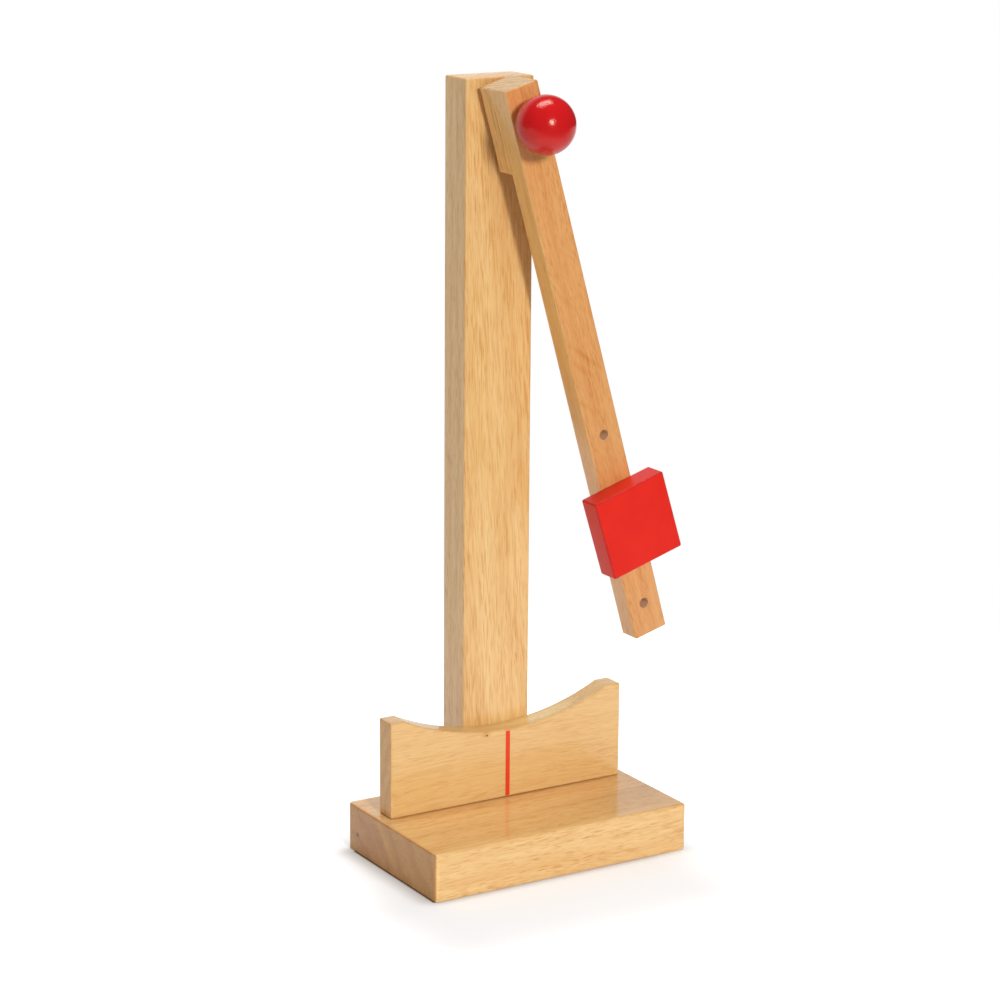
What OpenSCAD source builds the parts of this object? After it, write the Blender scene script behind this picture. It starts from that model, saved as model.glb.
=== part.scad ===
// Wooden pendulum demonstrator: a rigid arm with a movable bob swings on a pivot
// in front of an upright post, over an arc board with a centre mark.
// Millimetres, +Z up, +Y to the back. The origin is the middle of the base's underside.

/* [Base] */
// Width of the base, left to right
base_w = 202; // [160:1:260]
// Depth of the base, front to back
base_d = 122; // [100:1:180]
// Height of the base
base_h = 34; // [24:1:50]

/* [Post] */
// Width of the post, left to right
post_w = 53; // [40:1:70]
// Thickness of the post, front to back
post_t = 28; // [24:1:36]
// Height of the post above the base
post_h = 502; // [460:1:620]
// Distance from the base's back edge to the post's back
post_inset = 3; // [0:0.5:15]

/* [Arc board] */
// Distance from each end of the base to the arc board's end
board_inset = 7.5; // [0:0.5:25]
// Thickness of the arc board
board_t = 16.5; // [12:0.5:24]
// Height of the arc board at its ends
board_h = 69; // [50:1:90]
// Depth of the arc below the board's ends
arc_dip = 19; // [8:0.5:30]
// Flat shoulder at each end of the arc
arc_shoulder = 11; // [4:0.5:20]
// Width of the painted centre mark
mark_w = 3.3; // [2:0.1:8]
// Thickness of the mark's paint
mark_t = 0.3; // [0.2:0.05:0.6]

/* [Pivot] */
// Distance from the post's top down to the pivot's axis
pivot_drop = 26; // [18:0.5:45]
// Diameter of the pivot axle
axle_d = 10; // [6:0.5:12]
// Wood left in the post behind the axle
axle_wall = 8; // [3:0.5:14]
// Gap between the post and the pivot block
pivot_gap = 5; // [2:0.5:10]
// Outer diameter of the spacer in that gap
spacer_d = 16; // [14:0.5:24]
// Diameter of the red ball
ball_d = 40; // [30:1:50]
// Diameter of the flat on the back of the ball
ball_flat_d = 14; // [13:0.5:18]
// Length of the axle that is held in the ball
ball_hold = 15; // [10:0.5:20]
// Thickness of the washer behind the ball
washer_t = 1; // [0.5:0.1:2]
// Outer diameter of the washer behind the ball
washer_d = 18; // [14:0.5:24]

/* [Pendulum] */
// Angle from hanging at which the pendulum stands, its lower end to the right
swing_angle = 16; // [-60:1:60]
// Width of the arm
arm_w = 26; // [20:0.5:36]
// Thickness of the arm
arm_t = 17; // [12:0.5:20]
// Length of the arm above the pivot's axis
arm_above = 25; // [16:0.5:40]
// Length of the arm below the pivot's axis
arm_below = 380; // [330:1:420]
// Thickness of the pivot block
block_t = 16; // [12:0.5:20]
// Length of the pivot block below the pivot's axis
block_below = 35; // [20:0.5:60]
// Distance from the arm's lower end to its lowest peg hole
hole_end = 23; // [12:0.5:40]
// Distance between peg holes
hole_pitch = 65; // [40:0.5:80]
// Number of peg holes
hole_count = 3; // [3:1:4]
// Peg hole that holds the bob, counted from the lowest
bob_hole = 1; // [0:1:2]

/* [Bob] */
// Angle by which the bob is turned on its peg, its right side upwards
bob_turn = 1.5; // [-45:0.5:45]
// Width of the bob
bob_w = 58; // [40:1:80]
// Height of the bob
bob_h = 58; // [40:1:80]
// Thickness of the bob
bob_t = 18; // [12:0.5:24]
// Diameter of the bob's peg
peg_d = 7; // [4:0.5:9]
// Wood left in the bob in front of the peg
peg_wall = 5; // [2:0.5:8]
// Distance from the peg's end to the arm's back
peg_short = 1; // [0:0.5:4]

/* [Screws] */
// Diameter of the post screws
post_screw_d = 5; // [4:0.1:6]
// Depth of the post screws in the post
post_screw_bite = 38; // [25:1:60]
// Distance from each side of the post to its screw
post_screw_edge = 12; // [10:0.5:16]
// Diameter of the board screws
board_screw_d = 4; // [3:0.1:5]
// Depth of the board screws in the board
board_screw_bite = 30; // [20:1:34]
// Distance from each end of the arc board to its screw
board_screw_end = 38; // [15:0.5:60]
// Depth of the screw heads below the base's underside
screw_sink = 1; // [0.5:0.1:3]
// Width of the slots in a screw's head
screw_slot_w = 1; // [0.6:0.1:1.4]
// Depth of the slots in a screw's head
screw_slot_t = 1.2; // [0.6:0.1:1.6]

/* [Edges and fits] */
// Radius of the rounded wood edges
edge_r = 1.2; // [0.5:0.1:3]
// Radius of the arm's and the pivot block's rounded edges
arm_edge_r = 1; // [0.5:0.1:2]
// Radius of the bob's rounded edges
bob_edge_r = 2; // [0.5:0.1:4]
// Clearance of a turning or sliding pin, on the radius
run_clear = 0.08; // [0.02:0.01:0.1]
// Clearance between a moving face and a fixed one
face_clear = 0.1; // [0.05:0.05:0.3]
// Glue line around a fixed pin, on the radius
glue_clear = 0.02; // [0.01:0.01:0.05]
// Clearance of a screw's shank in the base, on the radius
shank_clear = 0.25; // [0.1:0.05:0.5]

/* [Hidden] */
$fn = 96;

wood_colour = "BurlyWood";
dowel_colour = "Wheat";
red_colour = "FireBrick";
steel_colour = "Silver";

// Planes from the back to the front
post_back_y = base_d / 2 - post_inset;
post_mid_y = post_back_y - post_t / 2;
post_front_y = post_back_y - post_t;
board_mid_y = post_front_y - board_t / 2;
board_front_y = post_front_y - board_t;
block_back_y = post_front_y - pivot_gap;
arm_back_y = block_back_y - block_t;
arm_front_y = arm_back_y - arm_t;
axle_back_y = post_back_y - axle_wall;
bob_back_y = arm_front_y - face_clear;
bob_front_y = bob_back_y - bob_t;
washer_back_y = arm_front_y - face_clear;
ball_flat_y = washer_back_y - washer_t;

// Pivot and arc
pivot_z = base_h + post_h - pivot_drop;
axle_r = axle_d / 2;
ball_r = ball_d / 2;
ball_flat_off = sqrt(pow(ball_r, 2) - pow(ball_flat_d / 2, 2));
board_w = base_w - 2 * board_inset;
arc_half = board_w / 2 - arc_shoulder;
arc_r = (pow(arc_half, 2) + pow(arc_dip, 2)) / (2 * arc_dip);
arc_low_z = base_h + board_h - arc_dip;

// Pendulum places, measured down the arm from the pivot's axis
function hole_down(i) = arm_below - hole_end - i * hole_pitch;
bob_down = hole_down(bob_hole);
peg_r = peg_d / 2;
peg_back_y = arm_back_y - peg_short;
peg_front_y = bob_front_y + peg_wall;

// Screw proportions: a right-angled countersunk head, and a core that the thread leaves
function head_d(d) = 2 * d;
function head_h(d) = (head_d(d) - d) / 2;
function core_d(d) = 0.7 * d;
// Share of the core that is straight, before its point
tip_share = 0.9;

// How far a cut runs past the face that it opens
cut = 1;

// Rectangle with rounded corners, centred
module rounded_rect(w, h, r) {
  square([w - 2 * r, h], center = true);
  square([w, h - 2 * r], center = true);
  for (x = [-1, 1], y = [-1, 1])
    translate([x * (w / 2 - r), y * (h / 2 - r)])
      circle(r);
}

// Block with every edge rounded, standing on Z = 0 and centred over the origin
module rounded_block(w, d, h, r) {
  intersection() {
    linear_extrude(h)
      rounded_rect(w, d, r);
    translate([0, d / 2, h / 2])
      rotate([90, 0, 0])
        linear_extrude(d)
          rounded_rect(w, h, r);
    translate([-w / 2, 0, h / 2])
      rotate([90, 0, 90])
        linear_extrude(w)
          rounded_rect(d, h, r);
  }
}

// Round bar along Y between two planes
module bar_y(r, front_y, back_y) {
  translate([0, back_y, 0])
    rotate([90, 0, 0])
      cylinder(r = r, h = back_y - front_y);
}

// Places its children on the pivot's axis
module at_pivot() {
  translate([0, 0, pivot_z])
    children();
}

// Places its children on the pivot's axis, turned with the pendulum
module on_pendulum() {
  at_pivot()
    rotate([0, -swing_angle, 0])
      children();
}

// Places its children on the axis of the bob's peg, turned with the bob
module on_bob() {
  on_pendulum()
    translate([0, 0, -bob_down])
      rotate([0, -bob_turn, 0])
        children();
}

// Countersunk screw, head down on Z = 0, with its core above the shank
module screw(d, shank, bite) {
  difference() {
    union() {
      cylinder(d1 = head_d(d), d2 = d, h = head_h(d));
      cylinder(d = d, h = shank);
      translate([0, 0, shank])
        cylinder(d = core_d(d), h = tip_share * bite);
      translate([0, 0, shank + tip_share * bite])
        cylinder(d1 = core_d(d), d2 = 0, h = (1 - tip_share) * bite);
    }
    for (turn = [0, 90])
      rotate([0, 0, turn])
        cube([core_d(d) + d / 2, screw_slot_w, 2 * screw_slot_t], center = true);
  }
}

// Screw from below through the base
module base_screw(d, bite) {
  translate([0, 0, screw_sink])
    screw(d, base_h - screw_sink, bite);
}

// Countersunk hole in the base for such a screw
module base_screw_hole(d) {
  translate([0, 0, -cut])
    cylinder(d = head_d(d) + 2 * shank_clear, h = cut + screw_sink);
  translate([0, 0, screw_sink])
    cylinder(d1 = head_d(d) + 2 * glue_clear, d2 = d + 2 * glue_clear, h = head_h(d));
  cylinder(d = d + 2 * shank_clear, h = base_h + cut);
}

// Pilot hole above the base for such a screw's core
module pilot_hole(d, bite) {
  translate([0, 0, base_h - cut])
    cylinder(d = core_d(d) + 2 * glue_clear, h = cut + bite);
}

// Places its children where one of the post screws stands
module at_post_screw(side) {
  translate([side * (post_w / 2 - post_screw_edge), post_mid_y, 0])
    children();
}

// Places its children where one of the board screws stands
module at_board_screw(side) {
  translate([side * (board_w / 2 - board_screw_end), board_mid_y, 0])
    children();
}

// Disc that cuts the arc into the board and rounds the arc's two edges
module arc_cutter() {
  inner_t = board_t - 2 * edge_r;
  translate([0, board_mid_y, arc_low_z + arc_r])
    rotate([90, 0, 0])
      rotate_extrude()
        difference() {
          translate([0, -board_t / 2 - cut])
            square([arc_r + edge_r, board_t + 2 * cut]);
          translate([arc_r, -inner_t / 2])
            square([edge_r + cut, inner_t]);
          for (side = [-1, 1])
            translate([arc_r + edge_r, side * inner_t / 2])
              circle(edge_r);
        }
}

module base_block() {
  color(wood_colour)
    difference() {
      rounded_block(base_w, base_d, base_h, edge_r);
      for (side = [-1, 1]) {
        at_post_screw(side)
          base_screw_hole(post_screw_d);
        at_board_screw(side)
          base_screw_hole(board_screw_d);
      }
    }
}

module upright_post() {
  color(wood_colour)
    difference() {
      translate([0, post_mid_y, base_h])
        rounded_block(post_w, post_t, post_h, edge_r);
      for (side = [-1, 1])
        at_post_screw(side)
          pilot_hole(post_screw_d, post_screw_bite + cut);
      at_pivot()
        bar_y(axle_r + glue_clear, post_front_y - cut, axle_back_y);
    }
}

module arc_board() {
  color(wood_colour)
    difference() {
      translate([0, board_mid_y, base_h])
        rounded_block(board_w, board_t, board_h, edge_r);
      arc_cutter();
      for (side = [-1, 1])
        at_board_screw(side)
          pilot_hole(board_screw_d, board_screw_bite + cut);
    }
}

module centre_mark() {
  color(red_colour)
    translate([-mark_w / 2, board_front_y - mark_t, base_h + edge_r])
      cube([mark_w, mark_t, arc_low_z - base_h - 2 * edge_r]);
}

module post_screw(side) {
  color(steel_colour)
    at_post_screw(side)
      base_screw(post_screw_d, post_screw_bite);
}

module board_screw(side) {
  color(steel_colour)
    at_board_screw(side)
      base_screw(board_screw_d, board_screw_bite);
}

module pivot_axle() {
  color(dowel_colour)
    at_pivot()
      bar_y(axle_r, ball_flat_y - ball_hold, axle_back_y);
}

module rear_spacer() {
  color(dowel_colour)
    at_pivot()
      difference() {
        bar_y(spacer_d / 2, block_back_y + face_clear, post_front_y);
        bar_y(axle_r + run_clear, block_back_y - cut, post_front_y + cut);
      }
}

module front_washer() {
  color(steel_colour)
    at_pivot()
      difference() {
        bar_y(washer_d / 2, ball_flat_y, washer_back_y);
        bar_y(axle_r + run_clear, ball_flat_y - cut, washer_back_y + cut);
      }
}

module pivot_ball() {
  color(red_colour)
    at_pivot()
      translate([0, ball_flat_y - ball_flat_off, 0])
        rotate([90, 0, 0])
          rotate_extrude()
            difference() {
              intersection() {
                circle(ball_r);
                translate([0, -ball_flat_off])
                  square([ball_r, ball_flat_off + ball_r]);
              }
              translate([0, -ball_flat_off - cut])
                square([axle_r + glue_clear, ball_hold + cut]);
            }
}

module pendulum_arm() {
  color(wood_colour)
    on_pendulum()
      difference() {
        translate([0, arm_front_y + arm_t / 2, -arm_below])
          rounded_block(arm_w, arm_t, arm_above + arm_below, arm_edge_r);
        bar_y(axle_r + run_clear, arm_front_y - cut, arm_back_y + cut);
        for (i = [0 : hole_count - 1])
          translate([0, 0, -hole_down(i)])
            bar_y(peg_r + run_clear, arm_front_y - cut, arm_back_y + cut);
      }
}

// The block's edges are square where it is glued to the arm
module pivot_block() {
  block_h = arm_above + block_below;
  long_t = block_t + arm_t;
  color(wood_colour)
    on_pendulum()
      difference() {
        translate([0, block_back_y - long_t / 2, -block_below])
          rounded_block(arm_w, long_t, block_h, arm_edge_r);
        translate([-arm_w / 2 - cut, arm_front_y - cut, -block_below - cut])
          cube([arm_w + 2 * cut, arm_t + cut, block_h + 2 * cut]);
        bar_y(axle_r + run_clear, arm_back_y - cut, block_back_y + cut);
      }
}

module bob_block() {
  color(red_colour)
    on_bob()
      difference() {
        translate([0, bob_front_y + bob_t / 2, -bob_h / 2])
          rounded_block(bob_w, bob_t, bob_h, bob_edge_r);
        bar_y(peg_r + glue_clear, peg_front_y, bob_back_y + cut);
      }
}

module bob_peg() {
  color(dowel_colour)
    on_bob()
      bar_y(peg_r, peg_front_y, peg_back_y);
}

base_block();
upright_post();
arc_board();
centre_mark();
post_screw(-1);  // post_screw_left
post_screw(1);  // post_screw_right
board_screw(-1);  // board_screw_left
board_screw(1);  // board_screw_right
pivot_axle();
rear_spacer();
front_washer();
pivot_ball();
pendulum_arm();
pivot_block();
bob_block();
bob_peg();
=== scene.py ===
"""Looks of a wooden pendulum demonstrator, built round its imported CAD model.

Everything is in metres in the CAD model's frame: +X to the right, +Y to the back, +Z up.
Finishes are measured in millimetres where a comment says so.
"""

import logging
import math
from dataclasses import dataclass
from enum import Enum, IntEnum
from typing import Any, Iterable, Union

import bmesh
import bpy
from bmesh.types import BMEdge, BMesh, BMVert
from mathutils import Euler, Matrix, Vector


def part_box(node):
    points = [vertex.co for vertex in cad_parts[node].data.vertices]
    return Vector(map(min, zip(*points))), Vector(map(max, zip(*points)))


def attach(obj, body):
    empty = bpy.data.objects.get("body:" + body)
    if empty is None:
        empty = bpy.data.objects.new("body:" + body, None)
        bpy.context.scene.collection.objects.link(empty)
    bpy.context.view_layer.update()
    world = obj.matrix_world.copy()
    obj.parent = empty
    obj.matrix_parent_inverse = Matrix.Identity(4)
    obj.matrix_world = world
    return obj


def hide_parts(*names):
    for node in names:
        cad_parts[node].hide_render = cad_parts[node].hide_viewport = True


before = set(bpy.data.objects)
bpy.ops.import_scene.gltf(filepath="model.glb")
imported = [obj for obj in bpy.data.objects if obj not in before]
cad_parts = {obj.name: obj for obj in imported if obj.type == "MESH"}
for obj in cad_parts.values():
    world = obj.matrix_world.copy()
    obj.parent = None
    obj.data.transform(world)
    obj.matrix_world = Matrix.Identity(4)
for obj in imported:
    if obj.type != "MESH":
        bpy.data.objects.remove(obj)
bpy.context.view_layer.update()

MM = 0.001
TOUCH = 1e-6  # m, within which two places count as one
MERGE = 1e-7  # m, within which vertices are joined
FACING = 0.999  # cosine from which a face looks a given way
CORNER = 60.0  # degrees between faces, from which an edge is a corner
RIDGE = 20.0  # degrees between faces, from which an edge is a ridge
MIX_FIRST, MIX_SECOND, MIX_RESULT = 6, 7, 2  # places of a Mix node's colour sockets
SMOOTH = {"interpolation_type": "SMOOTHSTEP"}
BLACK = (0.0, 0.0, 0.0)
WHITE = (1.0, 1.0, 1.0)
WEAR = "edge_wear"
BARE = "bare_wood"
LOG = logging.getLogger("pendulum")

Colour = tuple[float, float, float]
Point = tuple[float, float, float]
Term = Union["Num", float]
Material = bpy.types.Material
Node = bpy.types.Node
Piece = bpy.types.Object
Socket = bpy.types.NodeSocket


class Axis(IntEnum):
    """One of the frame's axes, by its place in a vector."""

    X = 0
    Y = 1
    Z = 2


class Side(Enum):
    """Outward direction of a block's flat side."""

    FRONT = (0.0, -1.0, 0.0)
    BACK = (0.0, 1.0, 0.0)
    UNDER = (0.0, 0.0, -1.0)

    @property
    def out(self) -> Vector:
        """Outward direction as a vector."""
        return Vector(self.value)


class Bore(Enum):
    """How a hole ends."""

    BLIND = "blind"
    THROUGH = "through"
    COUNTERSUNK = "countersunk"


class Rounded(Enum):
    """What a bevel rounds, in Blender's words."""

    EDGES = "EDGES"
    CORNERS = "VERTICES"


class LampShape(Enum):
    """Outline of a lamp, in Blender's words."""

    ROUND = "ELLIPSE"
    OBLONG = "RECTANGLE"


class GrainWay(Enum):
    """Turn, in degrees about X, Y and Z, that lays a piece's grain along X."""

    ALONG_BASE = (0.0, 0.0, 0.0)
    ALONG_DOWEL = (0.0, 0.0, -90.0)
    ALONG_POST = (0.0, 93.5, 0.0)
    ALONG_ARM = (0.0, 106.0, 0.0)

    @property
    def turn(self) -> Point:
        """Turn as angles in radians."""
        return tuple(Euler([math.radians(a) for a in self.value], "XYZ"))


class WoodTint(Enum):
    """What a feature of the wood does to its tone."""

    PALE = (1.06, 1.12, 1.22)
    DEEP = (0.94, 0.86, 0.74)
    RING = (0.88, 0.74, 0.58)
    DRIFT = (0.97, 0.90, 0.82)
    END_RING = (0.80, 0.66, 0.58)
    FLECK = (0.85, 0.70, 0.52)
    PORE = (0.84, 0.68, 0.50)
    WORN = (0.80, 0.66, 0.52)


class Num:
    """A number socket. Arithmetic on it adds Math nodes to its tree."""

    def __init__(self, tree: "Tree", socket: Socket) -> None:
        """Keep a socket together with the tree that holds it."""
        self.tree = tree
        self.socket = socket

    def __add__(self, other: Term) -> "Num":
        """Sum."""
        return self.tree.math("ADD", self, other)

    def __radd__(self, other: Term) -> "Num":
        """Sum with a plain number in front."""
        return self.tree.math("ADD", other, self)

    def __sub__(self, other: Term) -> "Num":
        """Difference."""
        return self.tree.math("SUBTRACT", self, other)

    def __rsub__(self, other: Term) -> "Num":
        """Difference with a plain number in front."""
        return self.tree.math("SUBTRACT", other, self)

    def __mul__(self, other: Term) -> "Num":
        """Product."""
        return self.tree.math("MULTIPLY", self, other)

    def __rmul__(self, other: Term) -> "Num":
        """Product with a plain number in front."""
        return self.tree.math("MULTIPLY", other, self)

    def __truediv__(self, other: Term) -> "Num":
        """Quotient."""
        return self.tree.math("DIVIDE", self, other)

    def __abs__(self) -> "Num":
        """Size without its sign."""
        return self.tree.math("ABSOLUTE", self)

    def fract(self) -> "Num":
        """Part after the point."""
        return self.tree.math("FRACT", self)

    def at_least(self, other: Term) -> "Num":
        """Larger of the two."""
        return self.tree.math("MAXIMUM", self, other)

    def ramp(self, low: float, high: float) -> "Num":
        """Smooth step from 0 at low to 1 at high, clamped."""
        sockets = {"Value": self, "From Min": low, "From Max": high}
        return self.tree.num(self.tree.node("ShaderNodeMapRange", SMOOTH, sockets))


class Tree:
    """Adds nodes to the node tree of one material or world."""

    def __init__(self, owner: Union[Material, bpy.types.World]) -> None:
        """Empty the owner's node tree and keep it.

        Args:
            owner: the material or the world.
        """
        owner.use_nodes = True
        self.tree = owner.node_tree
        self.tree.nodes.clear()

    def feed(self, socket: Socket, value: Any) -> None:
        """Give an input socket its value or its link.

        Args:
            socket: the input.
            value: a number, a tuple, a Num or an output socket.
        """
        if isinstance(value, Num):
            value = value.socket
        if isinstance(value, Socket):
            self.tree.links.new(value, socket)
        elif socket.type == "RGBA" and len(value) == 3:
            socket.default_value = (*value, 1.0)
        else:
            socket.default_value = value

    def node(
        self,
        kind: str,
        settings: dict[str, Any] | None = None,
        sockets: dict[str | int, Any] | None = None,
    ) -> Node:
        """Add a node.

        Args:
            kind: the node's type.
            settings: its own settings, set first.
            sockets: values or links of its inputs, by name or place.

        Returns:
            The node.
        """
        made = self.tree.nodes.new(kind)
        for name, value in (settings or {}).items():
            setattr(made, name, value)
        for key, value in (sockets or {}).items():
            self.feed(made.inputs[key], value)
        return made

    def num(self, node: Node, output: str | int = 0) -> Num:
        """Wrap one of a node's outputs as a number."""
        return Num(self, node.outputs[output])

    def math(self, operation: str, *terms: Term) -> Num:
        """Work out one or two numbers in a Math node."""
        return self.num(self.node("ShaderNodeMath", {"operation": operation}, dict(enumerate(terms))))

    def vector(self, operation: str, *terms: Any) -> Socket:
        """Work out vectors, given as tuples or sockets, in a Vector Math node."""
        made = self.node("ShaderNodeVectorMath", {"operation": operation}, dict(enumerate(terms)))
        return made.outputs[0]

    def length(self, vector: Socket) -> Num:
        """Length of a vector."""
        made = self.node("ShaderNodeVectorMath", {"operation": "LENGTH"}, {0: vector})
        return self.num(made, "Value")

    def part(self, vector: Socket, axis: Axis) -> Num:
        """One part of a vector."""
        return self.num(self.node("ShaderNodeSeparateXYZ", None, {0: vector}), axis.name)

    def coordinate(self, kind: str) -> Socket:
        """Read where a point is or how it faces."""
        return self.node("ShaderNodeTexCoord").outputs[kind]

    def millimetres(self) -> Socket:
        """Place on the object in millimetres."""
        return self.vector("MULTIPLY", self.coordinate("Object"), (1 / MM,) * 3)

    def mix(self, share: Term, first: Any, second: Any, blend: str = "MIX") -> Socket:
        """Mix two colours.

        Args:
            share: share of the second one.
            first: colour as a tuple or a socket.
            second: colour as a tuple or a socket.
            blend: how they mix.

        Returns:
            The mixed colour.
        """
        settings = {"data_type": "RGBA", "blend_type": blend}
        sockets = {0: share, MIX_FIRST: first, MIX_SECOND: second}
        return self.node("ShaderNodeMix", settings, sockets).outputs[MIX_RESULT]

    def noise(self, vector: Any, scale: float, detail: float = 2.0, rough: float = 0.5) -> Node:
        """Add a noise texture, with its number first and its colour second."""
        sockets = {"Vector": vector, "Scale": scale, "Detail": detail, "Roughness": rough}
        return self.node("ShaderNodeTexNoise", None, sockets)

    def grain_noise(self, vector: Any, along: float, across: float, detail: float = 2.0) -> Num:
        """Noise, about 0.5 on average, with streaks along X of a length and width in millimetres."""
        drawn = self.vector("MULTIPLY", vector, (1 / along, 1 / across, 1 / across))
        return self.num(self.noise(drawn, 1.0, detail))

    def attribute(self, name: str) -> Num:
        """Read a number that the mesh carries."""
        return self.num(self.node("ShaderNodeAttribute", {"attribute_name": name}), "Fac")

    def bump(self, height: Num, strength: float, distance: float) -> Socket:
        """Turn a height, in parts of a distance in metres, into a normal."""
        sockets = {"Strength": strength, "Distance": distance, "Height": height}
        return self.node("ShaderNodeBump", None, sockets).outputs[0]

    def surface(self, sockets: dict[str | int, Any]) -> None:
        """Close a material with a Principled shader that has these inputs."""
        shader = self.node("ShaderNodeBsdfPrincipled", None, sockets)
        self.node("ShaderNodeOutputMaterial", None, {"Surface": shader.outputs[0]})


@dataclass(frozen=True)
class Finish:
    """A procedural finish on Object coordinates."""

    name: str
    tone: Colour

    def material(self) -> Material:
        """Build the material.

        Returns:
            The material.
        """
        made = bpy.data.materials.new(self.name)
        self.cover(Tree(made))
        return made

    def cover(self, tree: Tree) -> None:
        """Add the finish's nodes to the material's empty tree."""
        raise NotImplementedError

    def tinted(self, tint: Colour) -> Colour:
        """Tone times a tint."""
        return tuple(c * k for c, k in zip(self.tone, tint))


@dataclass(frozen=True)
class Mark:
    """A small mark in the wood's colour: a knot or a stain, or painted light or shade."""

    at: Point  # mm, in the object's frame
    reach: Point  # mm, half its size along X, Y and Z before it is turned
    tint: Colour  # what it does to the colour at its middle
    core: float = 0.2  # share of its reach that is full
    lean: tuple[Axis, float] = (Axis.Y, 0.0)  # axis that it is turned about, and degrees


@dataclass(frozen=True)
class WoodFinish(Finish):
    """Pale porous wood under clear lacquer, with its figure cut from one solid block."""

    way: GrainWay
    seed: float  # mm, slides the figure so that no two pieces match
    heart: tuple[float, float] = (60.0, -90.0)  # mm, middle of the growth rings across the grain
    ring: float = 14.0  # mm between growth rings
    ring_depth: float = 0.35
    streak_depth: float = 0.5
    fleck_depth: float = 1.0
    fleck_length: float = 13.0  # mm
    fleck_width: float = 1.05  # mm
    crowd: float = 0.4  # share of flecks and pores that is everywhere, the rest comes in bands
    pore_depth: float = 0.7
    sway: float = 15.0  # mm by which the grain wanders
    wear_depth: float = 0.3
    coat: float = 0.7
    coat_rough: float = 0.13
    # tone of the end grain; on the arm and block it is painted light that makes their tops paler
    end_tone_and_sheen: Colour = (0.98, 0.95, 0.92)
    side_sheen_tint: Colour = WHITE  # painted light on the faces across the grain's other way: paler sides of the arm and block, warmer top of the base
    end_rings: float = 0.35
    bare_tone: Colour = (0.78, 0.50, 0.30)  # inside drilled holes, without lacquer
    bare_share: float = 0.85
    relief: float = 0.00012  # m
    marks: tuple[Mark, ...] = ()

    def cover(self, tree: Tree) -> None:
        """Add the wood's nodes.

        Args:
            tree: the material's empty tree.
        """
        place, here, normal = self._places(tree)
        bent = self._wander(tree, here)
        end, side = (abs(tree.part(normal, axis)).ramp(0.55, 0.9) for axis in (Axis.X, Axis.Z))
        rings = self._rings(tree, bent)
        bands = tree.grain_noise(bent, along=70.0, across=7.0).ramp(0.35, 0.65)
        crowd = self.crowd + bands * (1.0 - self.crowd)
        pores = self._pores(tree, bent) * crowd
        fibre = tree.grain_noise(bent, along=20.0, across=0.9)
        fleck = tree.grain_noise(bent, self.fleck_length, self.fleck_width, 1.0).ramp(0.48, 0.66) * crowd
        streak = tree.grain_noise(bent, along=130.0, across=3.5, detail=3.0)
        broad_darkening = tree.grain_noise(here, along=150.0, across=45.0, detail=1.0)
        patchy = tree.grain_noise(here, along=30.0, across=12.0, detail=1.0)
        bare = tree.attribute(BARE)
        worn = tree.attribute(WEAR) * (0.4 + patchy.ramp(0.3, 0.7) * 0.6)

        figure = (streak - 0.5) * self.streak_depth * 2.2 + (fibre - 0.5) * 0.8 + 0.5
        deep, pale = self.tinted(WoodTint.DEEP.value), self.tinted(WoodTint.PALE.value)
        colour = tree.mix(figure.ramp(0.0, 1.0), deep, pale)
        layers = (
            (rings * self.ring_depth, WoodTint.RING.value),
            (broad_darkening.ramp(0.3, 0.7) * 0.5, WoodTint.DRIFT.value),
            # the end and side tints are painted light on the arm's and block's tops and sides, and real
            # end-grain tone elsewhere
            (end, self.end_tone_and_sheen),
            (side, self.side_sheen_tint),
            (rings * end * self.end_rings, WoodTint.END_RING.value),
            (fleck * self.fleck_depth, WoodTint.FLECK.value),
            (pores * self.pore_depth, WoodTint.PORE.value),
            *((self._mark(tree, place, mark), mark.tint) for mark in self.marks),
            (worn * self.wear_depth, WoodTint.WORN.value),
        )
        for share, tint in layers:
            colour = tree.mix(share, colour, tint, "MULTIPLY")
        colour = tree.mix(bare * self.bare_share, colour, self.bare_tone)

        height = (fibre - 0.5) * 0.5 - pores * 0.7 - fleck * 0.3 - rings * 0.1
        tree.surface({
            "Base Color": colour,
            "Roughness": 0.44 + (fibre - 0.5) * 0.16 + pores * 0.14 + end * 0.12 + worn * 0.08,
            "Specular IOR Level": 0.35,
            "Coat Weight": self.coat * (1.0 - pores * 0.18 - worn * 0.3 - end * 0.35) * (1.0 - bare),
            "Coat Roughness": self.coat_rough,
            "Normal": tree.bump(height, 0.35, self.relief),
        })

    def _places(self, tree: Tree) -> tuple[Socket, Socket, Socket]:
        """Lay the grain along X.

        Args:
            tree: the material's tree.

        Returns:
            The place in millimetres, the same turned, and the surface's normal turned.
        """
        place = tree.millimetres()
        laid = {"Vector": place, "Location": (self.seed, 0.0, 0.0), "Rotation": self.way.turn}
        here = tree.node("ShaderNodeMapping", {"vector_type": "POINT"}, laid)
        facing = {"Vector": tree.coordinate("Normal"), "Rotation": self.way.turn}
        normal = tree.node("ShaderNodeMapping", {"vector_type": "NORMAL"}, facing)
        return place, here.outputs[0], normal.outputs[0]

    def _wander(self, tree: Tree, here: Socket) -> Socket:
        """Let the grain wander from a straight line.

        Args:
            tree: the material's tree.
            here: place in millimetres with the grain along X.

        Returns:
            The place, moved a few millimetres across the grain.
        """
        slow = tree.vector("MULTIPLY", here, (0.006, 0.014, 0.014))
        sway = tree.vector("SUBTRACT", tree.noise(slow, 1.0).outputs[1], (0.5, 0.5, 0.5))
        return tree.vector("MULTIPLY_ADD", sway, (0.0, self.sway, self.sway), here)

    def _rings(self, tree: Tree, bent: Socket) -> Num:
        """Draw growth rings round the heart.

        Args:
            tree: the material's tree.
            bent: place along the wandering grain.

        Returns:
            The late wood of each ring, 0 to 1.
        """
        flat = tree.vector("MULTIPLY", bent, (0.0, 1.0, 1.0))
        out = tree.length(tree.vector("SUBTRACT", flat, (0.0, *self.heart)))
        uneven = tree.grain_noise(bent, along=260.0, across=30.0, detail=1.0)
        turn = (out / self.ring + uneven * 1.6).fract()
        return turn.ramp(0.35, 0.86) * (1.0 - turn.ramp(0.9, 1.0))

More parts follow.
